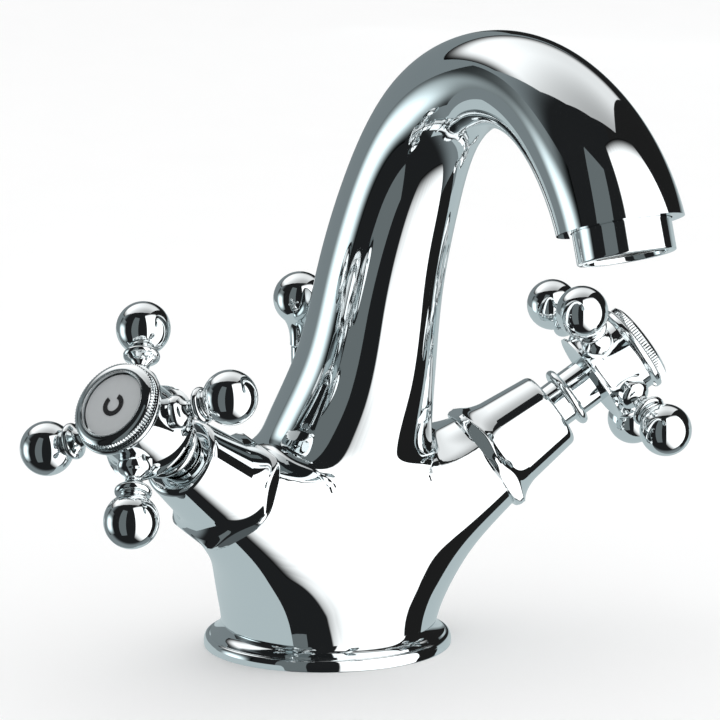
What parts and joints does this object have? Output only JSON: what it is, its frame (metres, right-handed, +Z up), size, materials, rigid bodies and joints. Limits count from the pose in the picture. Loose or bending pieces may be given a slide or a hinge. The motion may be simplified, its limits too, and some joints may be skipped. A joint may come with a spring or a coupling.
{
  "type": "bathroom mixer faucet",
  "caption": "Deck-mounted basin mixer with a swan-neck spout, ball-ended cross handles on angled ceramic valves, an aerator and a pop-up waste rod.",
  "frame": {"origin": "centre of the base flange on its underside, where it sits on the basin", "axes": "+Z up, spout towards -Y and the user, +X to the user's right"},
  "size_m": [0.1844, 0.1745, 0.1652],
  "materials": {
    "chrome": "polished chrome plate on brass",
    "brass": "machined brass",
    "ceramic": "lapped alumina ceramic",
    "rubber": "moulded",
    "steel": "stainless steel",
    "white_plastic": "moulded acetal",
    "grey_enamel": "satin enamel",
    "black_enamel": "gloss enamel"
  },
  "bodies": {
    "mixer_body": {"body": "chrome", "aerator_housing": "chrome", "base_seal": "rubber", "aerator_insert": "white_plastic", "aerator_screen": "steel", "aerator_washer": "rubber", "rod_guide": "white_plastic", "rod_o_ring": "rubber", "left_seat_seal": "rubber", "left_valve_body": "brass", "left_fixed_disc": "ceramic", "left_bonnet": "chrome", "right_seat_seal": "rubber", "right_valve_body": "brass", "right_fixed_disc": "ceramic", "right_bonnet": "chrome"},
    "left_handle": {"left_moving_disc": "ceramic", "left_spindle": "brass", "left_spindle_o_ring": "rubber", "left_retaining_clip": "steel", "left_stem_sleeve": "chrome", "left_hub": "chrome", "left_spoke_1": "chrome", "left_spoke_2": "chrome", "left_spoke_3": "chrome", "left_spoke_4": "chrome", "left_handle_screw": "steel", "left_index_button": "chrome", "left_index_disc": "grey_enamel", "left_index_mark": "black_enamel"},
    "right_handle": {"right_moving_disc": "ceramic", "right_spindle": "brass", "right_spindle_o_ring": "rubber", "right_retaining_clip": "steel", "right_stem_sleeve": "chrome", "right_hub": "chrome", "right_spoke_1": "chrome", "right_spoke_2": "chrome", "right_spoke_3": "chrome", "right_spoke_4": "chrome", "right_handle_screw": "steel", "right_index_button": "chrome", "right_index_disc": "grey_enamel", "right_index_mark": "black_enamel"},
    "waste_rod": {"lift_rod": "chrome", "lift_knob": "chrome"}
  },
  "joints": [
    {"name": "left_handle_turn", "type": "hinge", "parent": "mixer_body", "child": "left_handle", "pos_m": [-0.07045, -0.02696, 0.06999], "axis": [-0.7793, -0.2747, 0.5632], "range_deg": [0, 90]},
    {"name": "right_handle_turn", "type": "hinge", "parent": "mixer_body", "child": "right_handle", "pos_m": [0.07045, -0.02696, 0.06999], "axis": [0.7793, -0.2747, 0.5632], "range_deg": [-90, 0]},
    {"name": "lift_rod_slide", "type": "slide", "parent": "mixer_body", "child": "waste_rod", "axis": [0, 0, 1], "range_m": [0, 0.03]}
  ]
}
